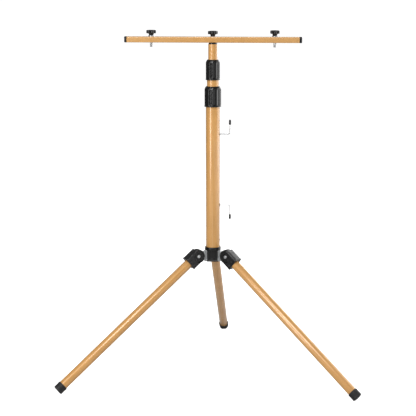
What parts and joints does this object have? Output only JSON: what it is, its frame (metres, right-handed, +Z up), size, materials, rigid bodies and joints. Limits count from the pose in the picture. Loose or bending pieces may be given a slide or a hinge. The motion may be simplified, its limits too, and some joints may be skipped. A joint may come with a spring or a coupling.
{
  "type": "telescopic tripod work light stand",
  "caption": "Telescopic tripod stand with folding legs, twist-lock mast, cord hooks and a swivelling crossbar whose knobs hold work lights.",
  "frame": {"origin": "on the mast axis at floor level", "axes": "+Z up along the mast; X along the crossbar, with the cord hooks on +X; the rear leg points to +Y"},
  "size_m": [0.8106, 0.706, 0.9492],
  "materials": {
    "gold_powder_coat": "satin golden-yellow powder coat",
    "black_nylon": "moulded black nylon, satin",
    "foot_rubber": "black rubber",
    "zinc_plate": "bright zinc plate",
    "brass": "turned brass",
    "black_vinyl": "dipped black vinyl",
    "grey_acetal": "grey acetal"
  },
  "bodies": {
    "stand_base": {"hub_body": "black_nylon", "hub_lug_rear": "zinc_plate", "hub_lug_left": "zinc_plate", "hub_lug_right": "zinc_plate", "lug_screws": "zinc_plate", "pivot_pins": "zinc_plate", "pivot_washers": "zinc_plate", "pivot_nuts": "zinc_plate", "mast_tube_lower": "gold_powder_coat", "mast_screws": "zinc_plate", "lower_collet": "black_nylon", "hook_inserts": "zinc_plate", "cord_hook_upper": "zinc_plate", "cord_hook_lower": "zinc_plate", "hook_tip_upper": "black_vinyl", "hook_tip_lower": "black_vinyl"},
    "lower_collar": {"lower_twist_collar": "black_nylon"},
    "middle_mast": {"mast_tube_middle": "gold_powder_coat", "middle_guide_bush": "grey_acetal", "upper_collet": "black_nylon"},
    "upper_collar": {"upper_twist_collar": "black_nylon"},
    "upper_mast": {"mast_tube_upper": "gold_powder_coat", "upper_guide_bush": "grey_acetal", "top_plug": "black_nylon", "top_plug_rivet": "zinc_plate", "top_insert": "brass"},
    "crossbar": {"crossbar": "gold_powder_coat", "bar_end_cap_left": "black_nylon", "bar_end_cap_right": "black_nylon", "bar_rivet_nuts": "zinc_plate"},
    "centre_washer": {"centre_washer": "zinc_plate"},
    "centre_knob": {"centre_knob": "black_nylon", "centre_stud": "zinc_plate"},
    "lamp_washer_left": {"lamp_washer_left": "zinc_plate"},
    "lamp_knob_left": {"lamp_knob_left": "black_nylon", "lamp_stud_left": "zinc_plate"},
    "lamp_washer_right": {"lamp_washer_right": "zinc_plate"},
    "lamp_knob_right": {"lamp_knob_right": "black_nylon", "lamp_stud_right": "zinc_plate"},
    "leg_rear": {"leg_socket_rear": "black_nylon", "leg_tube_rear": "gold_powder_coat", "leg_screw_rear": "zinc_plate", "foot_cap_rear": "foot_rubber"},
    "leg_left": {"leg_socket_left": "black_nylon", "leg_tube_left": "gold_powder_coat", "leg_screw_left": "zinc_plate", "foot_cap_left": "foot_rubber"},
    "leg_right": {"leg_socket_right": "black_nylon", "leg_tube_right": "gold_powder_coat", "leg_screw_right": "zinc_plate", "foot_cap_right": "foot_rubber"}
  },
  "joints": [
    {"name": "leg_rear_fold", "type": "hinge", "parent": "stand_base", "child": "leg_rear", "pos_m": [0, 0.047, 0.3353], "axis": [-1, 0, 0], "range_deg": [0, 51]},
    {"name": "leg_left_fold", "type": "hinge", "parent": "stand_base", "child": "leg_left", "pos_m": [-0.0407, -0.0235, 0.3353], "axis": [0.5, -0.866, 0], "range_deg": [0, 51]},
    {"name": "leg_right_fold", "type": "hinge", "parent": "stand_base", "child": "leg_right", "pos_m": [0.0407, -0.0235, 0.3353], "axis": [0.5, 0.866, 0], "range_deg": [0, 51]},
    {"name": "middle_mast_slide", "type": "slide", "parent": "stand_base", "child": "middle_mast", "axis": [0, 0, 1], "range_m": [0, 0.31]},
    {"name": "upper_mast_slide", "type": "slide", "parent": "middle_mast", "child": "upper_mast", "axis": [0, 0, 1], "range_m": [0, 0.35]},
    {"name": "lower_collar_turn", "type": "hinge", "parent": "stand_base", "child": "lower_collar", "pos_m": [0, 0, 0.77], "axis": [0, 0, 1], "range_deg": [0, 180]},
    {"name": "upper_collar_turn", "type": "hinge", "parent": "middle_mast", "child": "upper_collar", "pos_m": [0, 0, 0.84], "axis": [0, 0, 1], "range_deg": [0, 180]},
    {"name": "crossbar_swivel", "type": "hinge", "parent": "upper_mast", "child": "crossbar", "pos_m": [0, 0, 0.9234], "axis": [0, 0, 1], "continuous": true},
    {"name": "centre_washer_lift", "type": "slide", "parent": "upper_mast", "child": "centre_washer", "axis": [0, 0, 1], "range_m": [0, 0.005]},
    {"name": "centre_knob_turn", "type": "hinge", "parent": "centre_washer", "child": "centre_knob", "pos_m": [0, 0, 0.94], "axis": [0, 0, 1], "range_deg": [-10, 1450]},
    {"name": "lamp_left_washer_lift", "type": "slide", "parent": "crossbar", "child": "lamp_washer_left", "axis": [0, 0, 1], "range_m": [0, 0.005]},
    {"name": "lamp_left_knob_turn", "type": "hinge", "parent": "lamp_washer_left", "child": "lamp_knob_left", "pos_m": [-0.166, 0, 0.94], "axis": [0, 0, 1], "range_deg": [-10, 1450]},
    {"name": "lamp_right_washer_lift", "type": "slide", "parent": "crossbar", "child": "lamp_washer_right", "axis": [0, 0, 1], "range_m": [0, 0.005]},
    {"name": "lamp_right_knob_turn", "type": "hinge", "parent": "lamp_washer_right", "child": "lamp_knob_right", "pos_m": [0.166, 0, 0.94], "axis": [0, 0, 1], "range_deg": [-10, 1450]}
  ],
  "couplings": [
    {"joint": "centre_knob_turn", "follows": "centre_washer_lift", "rad_per_m": 5026.5},
    {"joint": "lamp_left_knob_turn", "follows": "lamp_left_washer_lift", "rad_per_m": 5026.5},
    {"joint": "lamp_right_knob_turn", "follows": "lamp_right_washer_lift", "rad_per_m": 5026.5}
  ]
}
